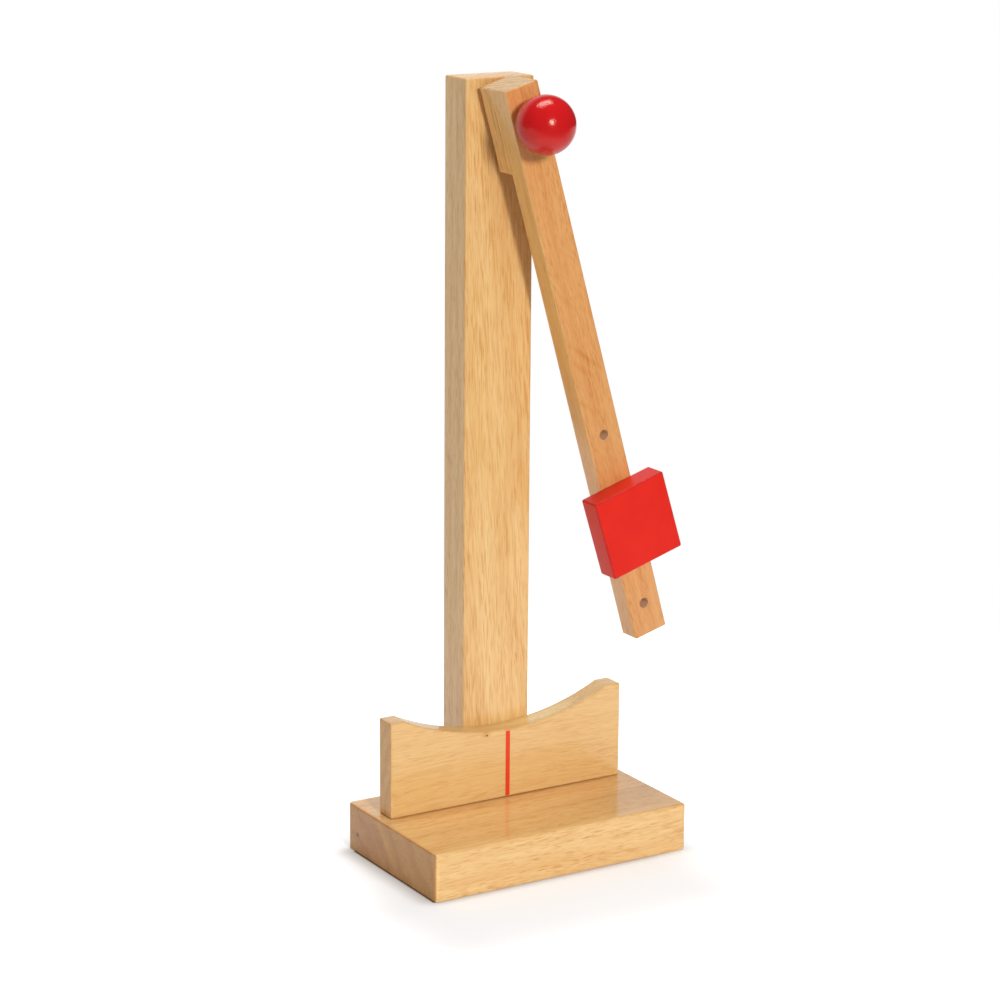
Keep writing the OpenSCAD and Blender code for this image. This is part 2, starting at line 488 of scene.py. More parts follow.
    def _pores(self, tree: Tree, bent: Socket) -> Num:
        """Draw the open pores as short dark dashes along the grain.

        Args:
            tree: the material's tree.
            bent: place along the wandering grain.

        Returns:
            The pores, 0 to 1.
        """
        total: Term = 0.0
        for length, width, shift in ((9.0, 1.3, 0.0), (16.0, 1.9, 7.3)):
            drawn = tree.vector("MULTIPLY_ADD", bent, (1 / length, 1 / width, 1 / width), (shift,) * 3)
            cells = tree.node("ShaderNodeTexVoronoi", {"feature": "F1"}, {"Vector": drawn, "Scale": 1.0})
            depth = tree.num(tree.node("ShaderNodeSeparateColor", None, {0: cells.outputs["Color"]}))
            dash = 1.0 - tree.num(cells, "Distance").ramp(0.12, 0.36)
            total = dash * depth.ramp(0.1, 0.9) + total
        return total

    def _mark(self, tree: Tree, place: Socket, mark: Mark) -> Num:
        """Find a mark in the wood's colour.

        Args:
            tree: the material's tree.
            place: place in millimetres.
            mark: the mark.

        Returns:
            1 at its middle, 0 outside.
        """
        axis, degrees = mark.lean
        off = tree.vector("SUBTRACT", place, mark.at)
        about = {"rotation_type": f"{axis.name}_AXIS"}
        turned = {"Vector": off, "Angle": math.radians(degrees)}
        off = tree.node("ShaderNodeVectorRotate", about, turned).outputs[0]
        off = tree.vector("MULTIPLY", off, tuple(1 / r for r in mark.reach))
        ragged = tree.num(tree.noise(place, 0.9))
        return 1.0 - (tree.length(off) + (ragged - 0.5) * 0.5).ramp(mark.core, 1.0)


@dataclass(frozen=True)
class PaintFinish(Finish):
    """Red paint or lacquer on sanded wood."""

    rough: float
    peel: float  # how much the paint's own waves show
    peel_size: float  # mm from wave to wave
    edge_wear_and_shade_tone: Colour
    wear_depth: float = 0.4
    gloss: float = 0.35  # Blender's level of its reflections, 0.5 for plain glass
    gloss_tint: Colour = (1.0, 0.92, 0.80)
    grain: float = 0.0  # how much of the wood's grain shows through
    way: GrainWay = GrainWay.ALONG_BASE
    pale: Colour = (1.04, 1.2, 1.2)  # tints of the tone where it is palest and where it is deepest
    deep: Colour = (0.95, 0.85, 0.88)
    relief: float = 0.00012  # m

    def cover(self, tree: Tree) -> None:
        """Add the paint's nodes.

        Args:
            tree: the material's empty tree.
        """
        laid = {"Vector": tree.millimetres(), "Rotation": self.way.turn}
        here = tree.node("ShaderNodeMapping", {"vector_type": "POINT"}, laid).outputs[0]
        cloud = tree.num(tree.noise(here, 0.045, 3.0))
        speck = tree.num(tree.noise(here, 1.7, 3.0, 0.65))
        waves = tree.num(tree.noise(here, 1 / self.peel_size, 1.0))
        fibre = tree.grain_noise(here, along=24.0, across=0.8)
        patchy = tree.num(tree.noise(here, 0.3)).ramp(0.35, 0.75)
        # edge darkening: wear, and on the bob painted shade along its edges
        worn = tree.attribute(WEAR) * (0.5 + patchy * 0.5)

        shade = cloud.ramp(0.3, 0.7) * 0.4 + speck * 0.4 + (fibre - 0.5) * self.grain + 0.1
        colour = tree.mix(shade.ramp(0.0, 1.0), self.tinted(self.deep), self.tinted(self.pale))
        height = waves * self.peel + speck * 0.25 + (fibre - 0.5) * self.grain
        tree.surface({
            "Base Color": tree.mix(worn * self.wear_depth, colour, self.edge_wear_and_shade_tone),
            "Roughness": self.rough + (speck - 0.5) * 0.08 + (cloud - 0.5) * 0.06 + worn * 0.08,
            "Specular IOR Level": self.gloss,
            "Specular Tint": self.gloss_tint,
            "Normal": tree.bump(height, 0.3, self.relief),
        })


@dataclass(frozen=True)
class SteelFinish(Finish):
    """Zinc-plated steel, turned and a little dull."""

    tone: Colour = (0.58, 0.59, 0.60)
    dull: Colour = (0.72, 0.72, 0.72)  # tint where it is dullest
    rough: float = 0.32
    relief: float = 0.00005  # m

    def cover(self, tree: Tree) -> None:
        """Add the steel's nodes.

        Args:
            tree: the material's empty tree.
        """
        here = tree.millimetres()
        cloud = tree.num(tree.noise(here, 0.5, 3.0))
        scratch = tree.grain_noise(here, along=6.0, across=0.12)
        tree.surface({
            "Base Color": tree.mix(cloud.ramp(0.35, 0.75) * 0.7, self.tone, self.tinted(self.dull)),
            "Metallic": 1.0,
            "Roughness": self.rough + (cloud - 0.5) * 0.25 + (scratch - 0.5) * 0.2,
            "Normal": tree.bump(scratch + cloud * 0.5, 0.2, self.relief),
        })


@dataclass(frozen=True)
class NylonFinish(Finish):
    """Natural nylon, turned from bar."""

    tone: Colour = (0.70, 0.66, 0.56)
    warm: Colour = (0.97, 0.92, 0.82)  # tint where it is yellowest
    rough: float = 0.48
    relief: float = 0.0001  # m

    def cover(self, tree: Tree) -> None:
        """Add the nylon's nodes.

        Args:
            tree: the material's empty tree.
        """
        here = tree.millimetres()
        cloud = tree.num(tree.noise(here, 0.25, 3.0))
        turned = tree.num(tree.noise(tree.vector("MULTIPLY", here, (0.05, 3.5, 0.05)), 1.0))
        tree.surface({
            "Base Color": tree.mix(cloud.ramp(0.3, 0.7), self.tone, self.tinted(self.warm)),
            "Roughness": self.rough + (turned - 0.5) * 0.2,
            "Subsurface Weight": 0.15,
            "Subsurface Radius": (0.004, 0.003, 0.002),
            "Normal": tree.bump(turned, 0.25, self.relief),
        })


@dataclass(frozen=True)
class Hole:
    """A round hole in a block's flat side. Sizes are in metres."""

    at: Vector  # a point on its axis
    radius: float
    bore: Bore
    depth: float = 0.0  # of a blind or countersunk hole
    chamfer: float = 0.5 * MM  # broken edge at its mouth
    head: float = 0.0  # radius of a countersunk screw's head
    sink: float = 0.0  # depth of that head below the surface


class Solid:
    """A closed mesh under construction."""

    SHARP = 35.0  # degrees between faces, from which an edge is drawn hard
    ROUND_STEPS = 5
    EASE_STEPS = 3
    HOLE_STEPS = 48
    TURN_STEPS = 72

    def __init__(self) -> None:
        """Start an empty mesh with layers for edge wear and bare wood."""
        self.bm: BMesh = bmesh.new()
        self.wear = self.bm.verts.layers.float.new(WEAR)
        self.bare = self.bm.verts.layers.float.new(BARE)

    def block(self, low: Vector, high: Vector) -> None:
        """Add a square-edged block between its lowest and its highest corner."""
        size = Matrix.Diagonal((*(high - low), 1.0))
        bmesh.ops.create_cube(self.bm, size=1.0, matrix=Matrix.Translation((low + high) / 2) @ size)

    def rounded_block(self, low: Vector, high: Vector, radius: float) -> None:
        """Add a block with every edge rounded."""
        self.block(low, high)
        self.round_edges(self.bm.edges, radius)

    def round_edges(self, edges: Iterable[BMEdge], radius: float) -> None:
        """Round some edges and note their wear.

        Args:
            edges: the edges.
            radius: their radius in metres.
        """
        made = self._bevel(list(edges), radius, Rounded.EDGES, self.ROUND_STEPS)
        rounded = set(made["faces"])
        for vert in {v for face in rounded for v in face.verts}:
            if all(face in rounded for face in vert.link_faces):
                vert[self.wear] = 1.0

    def _bevel(self, geom: list[Any], offset: float, what: Rounded, steps: int) -> dict[str, Any]:
        """Round edges or corners.

        Args:
            geom: the edges, or the vertices at the corners.
            offset: how far from them the rounding starts.
            what: which of the two they are.
            steps: number of faces or edges that make the rounding.

        Returns:
            What Blender made.
        """
        return bmesh.ops.bevel(
            self.bm,
            geom=geom,
            offset=offset,
            offset_type="OFFSET",
            affect=what.value,
            segments=steps,
            profile=0.5,
            clamp_overlap=False,
            material=-1,
        )

    def sharp_edges(self, degrees: float) -> list[BMEdge]:
        """Edges whose faces meet at more than an angle."""
        return [e for e in self.bm.edges if e.calc_face_angle(0.0) > math.radians(degrees)]

    def edges_along(self, axis: Axis, least: float = TOUCH) -> list[BMEdge]:
        """Edges that reach further than a length along an axis."""
        return [e for e in self.bm.edges if abs(e.verts[0].co[axis] - e.verts[1].co[axis]) > least]

    def edges_off(self, axis: Axis, level: float) -> list[BMEdge]:
        """Edges that don't lie in the plane at a level along an axis."""
        return [e for e in self.bm.edges if any(abs(v.co[axis] - level) > TOUCH for v in e.verts)]

    def rim(self, axis: Axis, level: float) -> list[BMEdge]:
        """Corner edges that lie in the plane at a level along an axis."""
        corners = self.sharp_edges(CORNER)
        return [e for e in corners if all(abs(v.co[axis] - level) < TOUCH for v in e.verts)]

    def drill(self, side: Side, holes: list[Hole]) -> None:
        """Drill holes into one flat side, and out of the opposite side where they go through.

        Args:
            side: the side that the holes open in.
            holes: the holes.
        """
        near = self._mouths(side.out, holes)
        passing = [i for i, hole in enumerate(holes) if hole.bore is Bore.THROUGH]
        far = self._mouths(-side.out, [holes[i] for i in passing]) if passing else []
        for i, other in zip(passing, far):
            bmesh.ops.bridge_loops(self.bm, edges=near[i] + other)
        for hole, rim in zip(holes, near):
            if hole.bore is not Bore.THROUGH:
                end = self._sink(rim, -side.out * hole.depth, 1.0)
                bmesh.ops.edgeloop_fill(self.bm, edges=end)

    def _mouths(self, out: Vector, holes: list[Hole]) -> list[list[BMEdge]]:
        """Open a flat face round some holes and break the holes' edges.

        Args:
            out: outward direction of the face.
            holes: the holes.

        Returns:
            Each hole's inner rim.
        """
        flat = [f for f in self.bm.faces if f.normal.dot(out) > FACING]
        face = max(flat, key=lambda f: f.calc_area())
        level = face.verts[0].co.dot(out)
        edges = list(face.edges)
        bmesh.ops.delete(self.bm, geom=[face], context="FACES_ONLY")
        turn = out.to_track_quat("Z", "Y").to_matrix().to_4x4()
        rims = []
        for hole in holes:
            wide = hole.head if hole.bore is Bore.COUNTERSUNK else hole.radius + hole.chamfer
            middle = hole.at + out * (level - hole.at.dot(out))
            ring = bmesh.ops.create_circle(
                self.bm,
                cap_ends=False,
                radius=wide,
                segments=self.HOLE_STEPS,
                matrix=Matrix.Translation(middle) @ turn,
            )
            rims.append(list({e for v in ring["verts"] for e in v.link_edges}))
        outline = edges + [e for rim in rims for e in rim]
        bmesh.ops.triangle_fill(self.bm, use_beauty=True, edges=outline, normal=out)
        return [self._lip(out, hole, rim) for hole, rim in zip(holes, rims)]

    def _lip(self, out: Vector, hole: Hole, rim: list[BMEdge]) -> list[BMEdge]:
        """Make a hole's mouth: a broken edge, or the seat of a countersunk head.

        Args:
            out: outward direction of the face.
            hole: the hole.
            rim: its edge in the face.

        Returns:
            The rim at the hole's own radius.
        """
        if hole.bore is Bore.COUNTERSUNK:
            rim = self._sink(rim, -out * hole.sink, 1.0)
            return self._sink(rim, -out * (hole.head - hole.radius), hole.radius / hole.head)
        return self._sink(rim, -out * hole.chamfer, hole.radius / (hole.radius + hole.chamfer))

    def _sink(self, rim: list[BMEdge], move: Vector, scale: float) -> list[BMEdge]:
        """Draw a round rim inwards.

        Args:
            rim: its edges.
            move: how far it goes.
            scale: how much it narrows.

        Returns:
            The new rim.
        """
        made = bmesh.ops.extrude_edge_only(self.bm, edges=rim)
        verts = [g for g in made["geom"] if isinstance(g, BMVert)]
        middle = sum((v.co for v in verts), Vector()) / len(verts)
        bmesh.ops.scale(self.bm, vec=(scale,) * 3, space=Matrix.Translation(-middle), verts=verts)
        bmesh.ops.translate(self.bm, vec=move, verts=verts)
        for vert in verts:
            vert[self.bare] = 1.0
        fresh = set(verts)
        return [g for g in made["geom"] if isinstance(g, BMEdge) and set(g.verts) <= fresh]

    def draw(self, tip: BMVert, points: Iterable[tuple[float, float]]) -> None:
        """Go on with a lathe profile in the YZ plane, from corner to corner.

        Args:
            tip: where the profile ends so far.
            points: Y and Z of each further corner, in metres.
        """
        for y, z in points:
            tip = bmesh.ops.extrude_vert_indiv(self.bm, verts=[tip])["verts"][0]
            tip.co = Vector((0.0, y, z))

    def profile(self, points: list[tuple[float, float]]) -> None:
        """Draw a lathe profile from the Y and Z of its corners."""
        start = bmesh.ops.create_vert(self.bm, co=(0.0, *points[0]))["vert"][0]
        self.draw(start, points[1:])

    def ease_corners(self, corners: list[tuple[float, float]], radius: float) -> None:
        """Round some corners of a lathe profile.

        Args:
            corners: their Y and Z.
            radius: how far from the corner the rounding starts.
        """
        for y, z in corners:
            spot = Vector((0.0, y, z))
            near = [v for v in self.bm.verts if (v.co - spot).length < TOUCH]
            self._bevel(near, radius, Rounded.CORNERS, self.EASE_STEPS)

    def merge(self) -> None:
        """Join vertices that lie in one place."""
        bmesh.ops.remove_doubles(self.bm, verts=list(self.bm.verts), dist=MERGE)

    def lathe(self, centre: Vector) -> None:
        """Turn the profile round a line along Y.

        Args:
            centre: a point on that line.
        """
        bmesh.ops.spin(
            self.bm,
            geom=list(self.bm.verts) + list(self.bm.edges),
            cent=centre,
            axis=(0.0, 1.0, 0.0),
            angle=math.tau,
            steps=self.TURN_STEPS,
            use_merge=True,
        )
        self.merge()

    def dowel(self, ends: tuple[float, float], height: float, radius: float, ease: float) -> None:
        """Add a dowel along Y with eased ends.

        Args:
            ends: Y of its two ends.
            height: Z of its middle line.
            radius: its radius.
            ease: rounding of its ends.
        """
        rim = height + radius
        corners = [(y, rim) for y in ends]
        self.profile([(ends[0], height), *corners, (ends[1], height)])
        self.ease_corners(corners, ease)
        self.lathe(Vector((0.0, 0.0, height)))

    def piece(self, name: str, turn: Matrix | None = None) -> Piece:
        """Close the mesh and make it an object at the origin.

        Args:
            name: the object's name.
            turn: where the finished mesh goes, if not where it was drawn.

        Returns:
            The object.
        """
        if turn is not None:
            bmesh.ops.transform(self.bm, matrix=turn, verts=list(self.bm.verts))
        bmesh.ops.recalc_face_normals(self.bm, faces=list(self.bm.faces))
        for face in self.bm.faces:
            face.smooth = True
        for edge in self.sharp_edges(self.SHARP):
            edge.smooth = False
        mesh = bpy.data.meshes.new(name)
        self.bm.to_mesh(mesh)
        self.bm.free()
        made = bpy.data.objects.new(name, mesh)
        bpy.context.scene.collection.objects.link(made)
        even = made.modifiers.new("even_flats", "WEIGHTED_NORMAL")
        even.keep_sharp = True
        return made


@dataclass
class SubAssembly:
    """Pieces that belong together on one body, with the sizes that the sub-assemblies share."""

    body: str
    pivot_height: float = 510.0 * MM
    axle_bore: float = 5.08 * MM  # radius of the holes that the axle passes through
    peg_down: float = 292.0 * MM  # from the pivot to the hole that holds the bob
    swing: float = 16.0  # degrees that the pendulum stands from hanging

    def pivot(self) -> Matrix:
        """Place of the pivot."""
        return Matrix.Translation((0.0, 0.0, self.pivot_height))

    def swung(self) -> Matrix:
        """Place of the pivot, turned with the pendulum."""
        return self.pivot() @ Matrix.Rotation(math.radians(-self.swing), 4, "Y")

    def settle(self, piece: Piece, node: str, slot: str, finish: Finish) -> None:
        """Dress a new piece and let it stand for its CAD node.

        Args:
            piece: the piece.
            node: the CAD node.
            slot: a material slot's name; not used.
            finish: the piece's finish.
        """
        piece.data.materials.append(finish.material())
        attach(piece, self.body)
        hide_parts(node)
        LOG.info("%s stands for %s on %s, %d faces", piece.name, node, self.body, len(piece.data.polygons))

    def dress(self, node: str, material: Material) -> None:
        """Give a CAD node that stays a better finish.

        Args:
            node: the CAD node.
            material: its finish.
        """
        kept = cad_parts[node]
        if not kept.material_slots:
            kept.data.materials.append(material)
        for place in kept.material_slots:
            place.material = material
        LOG.info("%s keeps its CAD shape on %s", node, self.body)


STAND_TONE: Colour = (0.805, 0.525, 0.218)
BOARD_TONE: Colour = (0.775, 0.495, 0.198)
ARM_TONE: Colour = (0.700, 0.338, 0.112)
DOWEL_TONE: Colour = (0.62, 0.42, 0.22)


def dowel_wood(name: str, seed: float) -> WoodFinish:
    """Finish of a sanded dowel, with a seed that slides its figure."""
    return WoodFinish(name, DOWEL_TONE, GrainWay.ALONG_DOWEL, seed, coat=0.1, coat_rough=0.3)


@dataclass
class Stand(SubAssembly):
    """Base, post, arc board with its mark, and the screws under them."""

    body: str = "stand"
    edge: float = 1.2 * MM
    base_upright_edge: float = 2.6 * MM
    base_edge: float = 1.8 * MM
    base_foot_edge: float = 0.9 * MM
    arc_half: float = 82.5 * MM
    arc_dip: float = 19.0 * MM
    arc_cuts: int = 71
    mark_corner: float = 0.4 * MM
    mark_edge: float = 0.1 * MM
    axle_hole: float = 5.06 * MM
    axle_depth: float = 20.2 * MM
    screw_sink: float = 1.0 * MM
    screw_depth: float = 27.0 * MM
    post_screw: tuple[float, float] = (5.25 * MM, 2.75 * MM)  # radius of its head and of its hole
    board_screw: tuple[float, float] = (4.25 * MM, 2.25 * MM)

    def build(self) -> None:
        """Build and dress all of the stand."""
        self.settle(self.base(), "base_block", "stand_wood", self.base_wood())
        self.settle(self.post(), "upright_post", "stand_wood", self.post_wood())
        self.settle(self.board(), "arc_board", "stand_wood", self.board_wood())
        self.settle(self.mark(), "centre_mark", "mark_paint", self.mark_paint())
        steel = SteelFinish("zinc_screw").material()
        for node in self.screws():
            self.dress(node, steel)

    def screws(self) -> dict[str, tuple[float, float]]:
        """Screws under the base, with the radius of each head and of its hole."""
        kinds = {"post_screw": self.post_screw, "board_screw": self.board_screw}
        return {f"{kind}_{side}": radii for kind, radii in kinds.items() for side in ("left", "right")}

    def base(self) -> Piece:
        """Base with its rounded edges and the countersinks in its underside.

        Returns:
            The base.
        """
        solid = Solid()
        low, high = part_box("base_block")
        solid.block(low, high)
        solid.round_edges(solid.edges_along(Axis.Z), self.base_upright_edge)
        solid.round_edges(solid.rim(Axis.Z, high.z), self.base_edge)
        solid.round_edges(solid.rim(Axis.Z, low.z), self.base_foot_edge)
        holes = []
        for node, (head, shank) in self.screws().items():
            low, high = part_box(node)
            middle = (low + high) / 2
            holes.append(
                Hole(middle, shank, Bore.COUNTERSUNK, self.screw_depth, head=head, sink=self.screw_sink)
            )
        solid.drill(Side.UNDER, holes)
        return solid.piece("base_wood")

    def post(self) -> Piece:
        """Post with its rounded edges and the axle's hole.

        Returns:
            The post.
        """
        solid = Solid()
        solid.rounded_block(*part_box("upright_post"), self.edge)
        at = Vector((0.0, 0.0, self.pivot_height))
        solid.drill(Side.FRONT, [Hole(at, self.axle_hole, Bore.BLIND, self.axle_depth)])
        return solid.piece("post_wood")

    def board(self) -> Piece:
        """Board on edge with the arc cut into its top.

        Returns:
            The board.
        """
        low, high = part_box("arc_board")
        solid = Solid()
        solid.block(low, high)
        bm = solid.bm
        for x in (-self.arc_half, self.arc_half):
            every = list(bm.verts) + list(bm.edges) + list(bm.faces)
            bmesh.ops.bisect_plane(bm, geom=every, plane_co=(x, 0.0, 0.0), plane_no=(1.0, 0.0, 0.0))
        span = solid.edges_along(Axis.X, self.arc_half)
        bmesh.ops.subdivide_edges(bm, edges=span, cuts=self.arc_cuts, use_grid_fill=True)
        radius = (self.arc_half**2 + self.arc_dip**2) / (2 * self.arc_dip)
        centre = high.z - self.arc_dip + radius
        for vert in bm.verts:
            if vert.co.z > high.z - TOUCH and abs(vert.co.x) < self.arc_half + TOUCH:
                vert.co.z = centre - math.sqrt(radius**2 - vert.co.x**2)
        corners = set(solid.sharp_edges(CORNER))
        solid.round_edges([e for e in solid.sharp_edges(RIDGE) if e not in corners], self.edge)
        solid.round_edges(solid.sharp_edges(CORNER), self.edge)
        return solid.piece("board_wood")

    def mark(self) -> Piece:
        """Painted line with soft corners.

        Returns:
            The line.
        """
        solid = Solid()
        low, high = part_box("centre_mark")
        solid.block(low, high)
        solid.round_edges(solid.edges_along(Axis.Y), self.mark_corner)
        solid.round_edges(solid.rim(Axis.Y, low.y), self.mark_edge)
        return solid.piece("mark_line")

    def base_wood(self) -> WoodFinish:
        """Finish of the base.

        Returns:
            The finish, with the marks at the base's left end, and painted light and shade along its edges.
        """
        knot = Mark((-101.0, 47.9, 13.5), (8.0, 3.0, 2.4), (0.40, 0.30, 0.28), 0.3)
        stain = Mark((-101.0, 33.4, 14.0), (20.0, 26.0, 26.0), (0.97, 0.88, 1.0), 0.2)
        lean = (Axis.X, 42.4)
        ring = Mark((-101.0, 6.0, 18.6), (6.0, 3.4, 32.0), (1.16, 1.25, 1.28), 0.0, lean)
        faint = Mark((-101.0, 23.4, 17.0), (6.0, 3.0, 28.0), (1.06, 1.09, 1.10), 0.0, lean)
        gold = Mark((-101.0, -34.6, 18.0), (12.0, 40.0, 36.0), (1.03, 1.05, 0.88), 0.2)
        # painted highlights: the front-left upright edge and the top front edge are made paler
        upright = Mark((-101.0, -61.0, 17.0), (3.6, 3.6, 21.0), (1.14, 1.16, 1.32), 0.3)
        front = Mark((0.0, -61.0, 34.0), (130.0, 2.2, 2.2), (1.05, 1.08, 1.14), 0.3)
        # partly painted shade, partly wear: the left top edge is darkened where it turns away from the
        # light
        left = Mark((-101.0, 0.0, 34.0), (2.4, 80.0, 2.4), (0.98, 0.84, 0.62), 0.4)
        return WoodFinish(
            "base_lacquered_wood",
            STAND_TONE,
            GrainWay.ALONG_BASE,
            seed=310.0,
            heart=(86.0, -64.0),
            ring=21.0,
            fleck_depth=0.9,
            fleck_length=10.0,
            pore_depth=0.75,
            coat=0.8,
            coat_rough=0.10,
            end_tone_and_sheen=(0.69, 0.52, 0.29),
            side_sheen_tint=(1.04, 1.0, 0.98),
            end_rings=0.25,
            marks=(stain, gold, ring, faint, knot, upright, front, left),
        )

    def post_wood(self) -> WoodFinish:
        """Finish of the post, with painted shade on its upper front round the pivot block."""
        # painted shade: the post's upper front is darkened round the pivot block
        broad_darkening = Mark((14.0, 30.0, 520.0), (70.0, 30.0, 200.0), (0.86, 0.79, 0.73), 0.1)
        return WoodFinish(
            "post_lacquered_wood",
            STAND_TONE,
            GrainWay.ALONG_POST,
            seed=1240.0,
            heart=(120.0, 12.0),
            ring=9.0,
            fleck_length=18.0,
            fleck_width=0.8,
            crowd=0.6,
            pore_depth=0.5,
            sway=9.0,
            marks=(broad_darkening,),
        )

    def board_wood(self) -> WoodFinish:
        """Finish of the arc board.

        Returns:
            The finish, with the marks on the board's front, painted shadow along its foot and painted light
            on its arc.
        """
        speck = Mark((-17.0, 13.5, 82.0), (1.1, 0.9, 0.8), (0.16, 0.10, 0.07), 0.5)
        halo = Mark((-17.8, 13.5, 82.5), (6.0, 3.0, 3.0), (0.86, 0.70, 0.52), 0.1)
        # painted shadow: a dark line along the board's foot where it meets the base
        foot = Mark((0.0, 21.75, 33.8), (240.0, 30.0, 1.8), (0.62, 0.42, 0.24), 0.35)
        # painted light: the upper surface of the arc's right half is made paler and cooler
        arc_top_light = Mark((28.0, 21.75, 89.0), (56.0, 9.5, 10.0), (1.20, 1.40, 1.46), 0.3)
        return WoodFinish(
            "board_lacquered_wood",
            BOARD_TONE,
            GrainWay.ALONG_BASE,
            seed=-470.0,
            heart=(-70.0, 10.0),
            ring=11.0,
            ring_depth=0.12,
            streak_depth=0.3,
            fleck_depth=0.55,
            pore_depth=0.35,
            end_tone_and_sheen=(0.90, 0.81, 0.66),
            marks=(halo, speck, foot, arc_top_light),
        )

    def mark_paint(self) -> PaintFinish:
        """Paint of the centre mark."""
        return PaintFinish(
            "mark_red_paint",
            (0.79, 0.050, 0.013),
            rough=0.4,
            peel=0.3,
            peel_size=1.2,
            edge_wear_and_shade_tone=(0.80, 0.09, 0.03),
        )


@dataclass
class Pivot(SubAssembly):
    """Axle with its spacer, washer and ball."""

    body: str = "stand"
    axle_r: float = 5.0 * MM
    ball_r: float = 20.0 * MM
    flat_r: float = 7.0 * MM
    socket_r: float = 5.05 * MM
    socket_depth: float = 15.1 * MM
    arc_steps: int = 52
    ease: float = 0.5 * MM
    washer_ease: float = 0.15 * MM

    def build(self) -> None:
        """Build and dress all of the pivot."""
        self.settle(self.axle(), "pivot_axle", "dowel_wood", dowel_wood("axle_sanded_dowel", 95.0))
        spacer = self.ring("spacer_ring", "rear_spacer", self.ease)
        self.settle(spacer, "rear_spacer", "spacer_nylon", NylonFinish("turned_nylon"))
        washer = self.ring("washer_ring", "front_washer", self.washer_ease)
        self.settle(washer, "front_washer", "washer_steel", SteelFinish("zinc_washer"))
        self.settle(self.ball(), "pivot_ball", "ball_lacquer", self.lacquer())

    def axle(self) -> Piece:
        """Dowel with eased ends.

        Returns:
            The axle.
        """
        low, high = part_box("pivot_axle")
        solid = Solid()
        solid.dowel((low.y, high.y), self.pivot_height, self.axle_r, self.ease)
        return solid.piece("axle_dowel")

    def ring(self, name: str, node: str, ease: float) -> Piece:
        """Ring round the axle with eased edges.

        Args:
            name: the new piece's name.
            node: the CAD node that it stands for.
            ease: rounding of its edges.

        Returns:
            The ring.
        """
        low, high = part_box(node)
        inner, outer = self.pivot_height + self.axle_bore, high.z
        corners = [(low.y, inner), (low.y, outer), (high.y, outer), (high.y, inner)]
        solid = Solid()
        solid.profile([*corners, corners[0]])
        solid.merge()
        solid.ease_corners(corners, ease)
        solid.lathe(Vector((0.0, 0.0, self.pivot_height)))
        return solid.piece(name)

    def ball(self) -> Piece:
        """Ball with the flat that meets the washer and the axle's socket.

        Returns:
            The ball.
        """
        flat_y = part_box("pivot_ball")[1].y
        centre = Vector((0.0, flat_y - math.sqrt(self.ball_r**2 - self.flat_r**2), self.pivot_height))
        solid = Solid()
        bm = solid.bm
        nose = bmesh.ops.create_vert(bm, co=centre - Vector((0.0, self.ball_r, 0.0)))["vert"]
        sweep = math.pi - math.asin(self.flat_r / self.ball_r)
        bmesh.ops.spin(bm, geom=nose, cent=centre, axis=(-1.0, 0.0, 0.0), angle=sweep, steps=self.arc_steps)
        mouth = self.pivot_height + self.socket_r
        floor = flat_y - self.socket_depth
        socket = ((flat_y, mouth), (floor, mouth), (floor, self.pivot_height))
        solid.draw(max(bm.verts, key=lambda v: v.co.y), socket)
        solid.lathe(centre)
        return solid.piece("ball_knob")

    def lacquer(self) -> PaintFinish:
        """Gloss lacquer of the ball."""
        return PaintFinish(
            "ball_red_lacquer",
            (0.53, 0.008, 0.010),
            rough=0.17,
            peel=2.6,
            peel_size=1.2,
            edge_wear_and_shade_tone=(0.45, 0.01, 0.01),
            gloss=0.36,
            gloss_tint=(1.0, 0.92, 0.72),
        )


